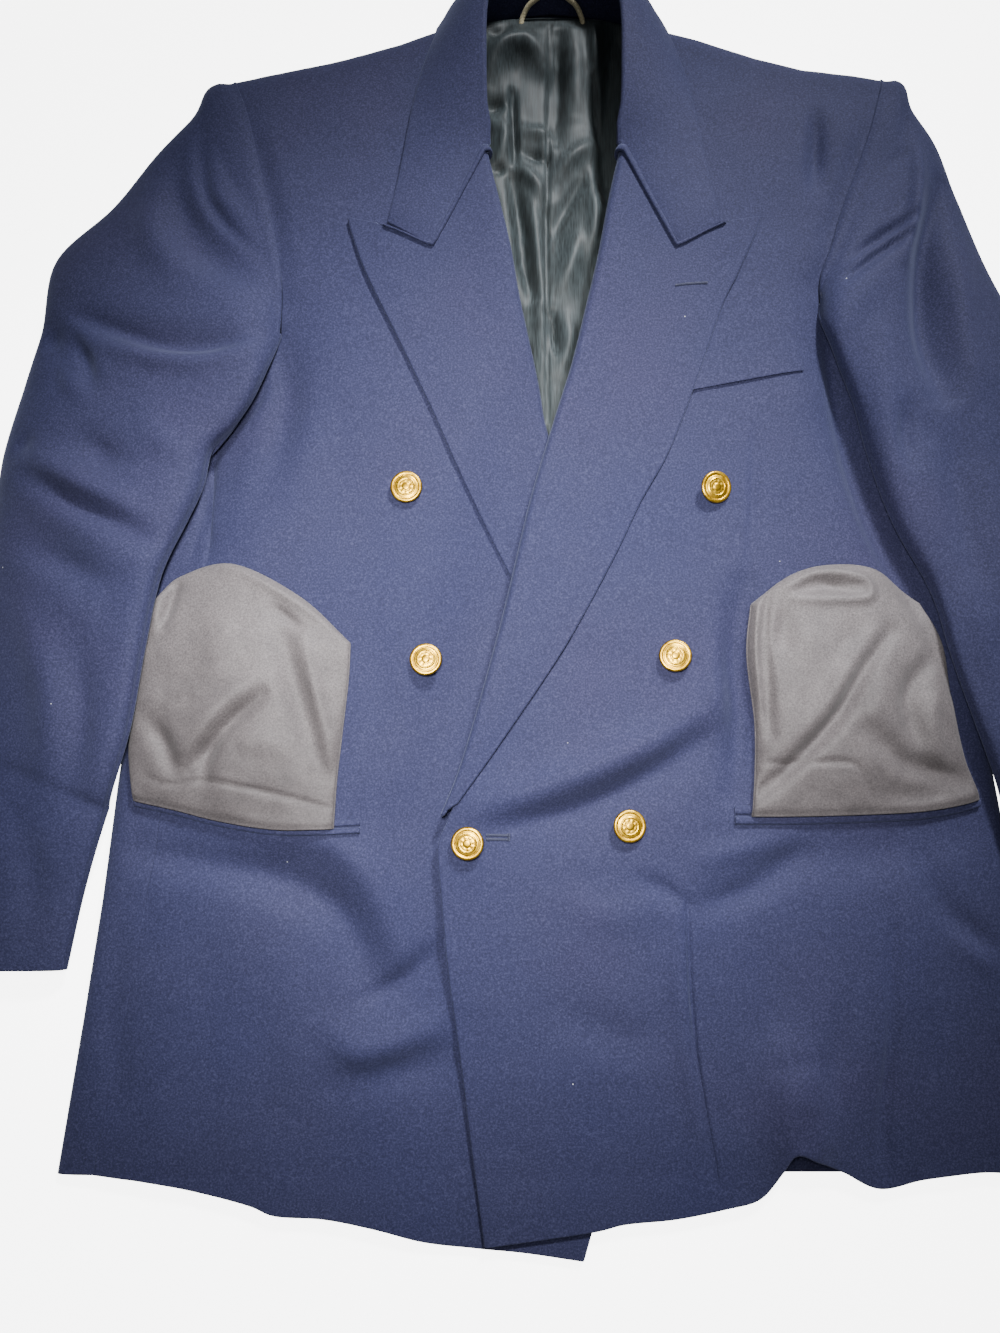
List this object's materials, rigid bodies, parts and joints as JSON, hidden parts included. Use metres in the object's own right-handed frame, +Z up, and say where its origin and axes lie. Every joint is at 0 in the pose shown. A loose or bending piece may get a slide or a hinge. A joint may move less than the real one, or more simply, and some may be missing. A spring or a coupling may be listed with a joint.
{
  "type": "double-breasted blazer laid flat",
  "caption": "Long-sleeved double-breasted blazer with peak lapels and domed buttons, laid flat on its back with both hip pockets turned out.",
  "frame": {"origin": "bottom centre of the whole garment's bounding box, on the surface that it lies on", "axes": "+X towards the wearer's left sleeve, +Y from the hem towards the collar, +Z up from the surface through the back and out of the front"},
  "size_m": [0.922, 0.886, 0.054],
  "materials": {
    "navy_wool": "navy blue worsted wool",
    "lining_satin": "grey green satin",
    "pocketing": "plain grey cotton",
    "brass": "polished gilt"
  },
  "bodies": {
    "root": {"back_left": "navy_wool", "back_right": "navy_wool", "side_left": "navy_wool", "side_right": "navy_wool", "front_left": "navy_wool", "front_right": "navy_wool", "lapel_left": "navy_wool", "lapel_right": "navy_wool", "collar_leaf": "navy_wool", "collar_stand": "navy_wool", "sleeve_top_left": "navy_wool", "sleeve_top_right": "navy_wool", "sleeve_under_left": "navy_wool", "sleeve_under_right": "navy_wool", "breast_pocket_welt": "navy_wool", "pocket_jet_upper_left": "navy_wool", "pocket_jet_lower_left": "navy_wool", "pocket_jet_upper_right": "navy_wool", "pocket_jet_lower_right": "navy_wool", "pocket_bag_left": "pocketing", "pocket_bag_right": "pocketing", "back_lining": "lining_satin", "hang_loop": "lining_satin", "button_top_right": "brass", "button_top_left": "brass", "button_middle_right": "brass", "button_middle_left": "brass", "button_bottom_right": "brass", "button_bottom_left": "brass"}
  },
  "joints": []
}
